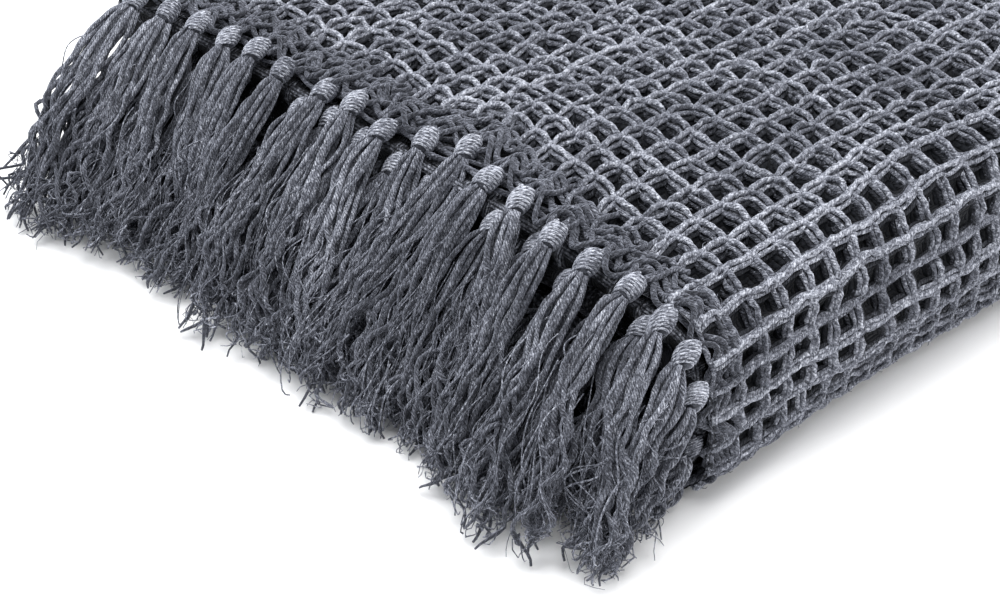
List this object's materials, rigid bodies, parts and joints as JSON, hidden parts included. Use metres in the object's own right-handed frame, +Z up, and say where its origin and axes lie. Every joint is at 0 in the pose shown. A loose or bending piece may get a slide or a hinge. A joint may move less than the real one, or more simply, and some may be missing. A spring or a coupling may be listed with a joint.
{
  "type": "folded throw blanket",
  "caption": "Folded chunky waffle-weave cotton throw blanket with knotted, twisted-yarn tassels spilling over one side.",
  "frame": {"origin": "centre of the bounding box's footprint, on the surface the folded throw lies on", "axes": "+X from the fringed side towards the lengthwise folds (longest extent), +Y from the outer wrap fold towards the selvedges, +Z up through the folded layers (shortest extent)"},
  "size_m": [0.5238, 0.3244, 0.084],
  "materials": {
    "waffle_cotton": "charcoal melange chunky waffle-weave cotton, matt with a frosted nap on the ridges",
    "twisted_cotton": "charcoal melange two-ply twisted cotton yarn, matt and slightly fuzzy"
  },
  "bodies": {
    "root": {"edge_yarns_inner": "twisted_cotton", "edge_yarns_outer": "twisted_cotton", "tassel_corner_1": "twisted_cotton", "tassel_corner_2": "twisted_cotton", "tassel_corner_3": "twisted_cotton", "tassel_corner_4": "twisted_cotton", "tassel_corner_5": "twisted_cotton", "tassel_lower_01": "twisted_cotton", "tassel_lower_02": "twisted_cotton", "tassel_lower_03": "twisted_cotton", "tassel_lower_04": "twisted_cotton", "tassel_lower_05": "twisted_cotton", "tassel_lower_06": "twisted_cotton", "tassel_lower_07": "twisted_cotton", "tassel_lower_08": "twisted_cotton", "tassel_lower_09": "twisted_cotton", "tassel_lower_10": "twisted_cotton", "tassel_lower_11": "twisted_cotton", "tassel_lower_12": "twisted_cotton", "tassel_lower_13": "twisted_cotton", "tassel_lower_14": "twisted_cotton", "tassel_lower_15": "twisted_cotton", "tassel_lower_16": "twisted_cotton", "tassel_upper_01": "twisted_cotton", "tassel_upper_02": "twisted_cotton", "tassel_upper_03": "twisted_cotton", "tassel_upper_04": "twisted_cotton", "tassel_upper_05": "twisted_cotton", "tassel_upper_06": "twisted_cotton", "tassel_upper_07": "twisted_cotton", "tassel_upper_08": "twisted_cotton", "tassel_upper_09": "twisted_cotton", "tassel_upper_10": "twisted_cotton", "tassel_upper_11": "twisted_cotton", "tassel_upper_12": "twisted_cotton", "tassel_upper_13": "twisted_cotton", "tassel_upper_14": "twisted_cotton", "tassel_upper_15": "twisted_cotton", "tassel_upper_16": "twisted_cotton", "tassels_bottom_1": "twisted_cotton", "tassels_bottom_2": "twisted_cotton", "tassels_bottom_3": "twisted_cotton", "tassels_bottom_4": "twisted_cotton", "tassels_bottom_5": "twisted_cotton", "tassels_bottom_6": "twisted_cotton", "tassels_bottom_7": "twisted_cotton", "tassels_bottom_8": "twisted_cotton", "tassels_middle_1": "twisted_cotton", "tassels_middle_2": "twisted_cotton", "tassels_middle_3": "twisted_cotton", "tassels_middle_4": "twisted_cotton", "tassels_middle_5": "twisted_cotton", "tassels_middle_6": "twisted_cotton", "tassels_middle_7": "twisted_cotton", "tassels_middle_8": "twisted_cotton", "waffle_cloth": "waffle_cotton"}
  },
  "joints": []
}
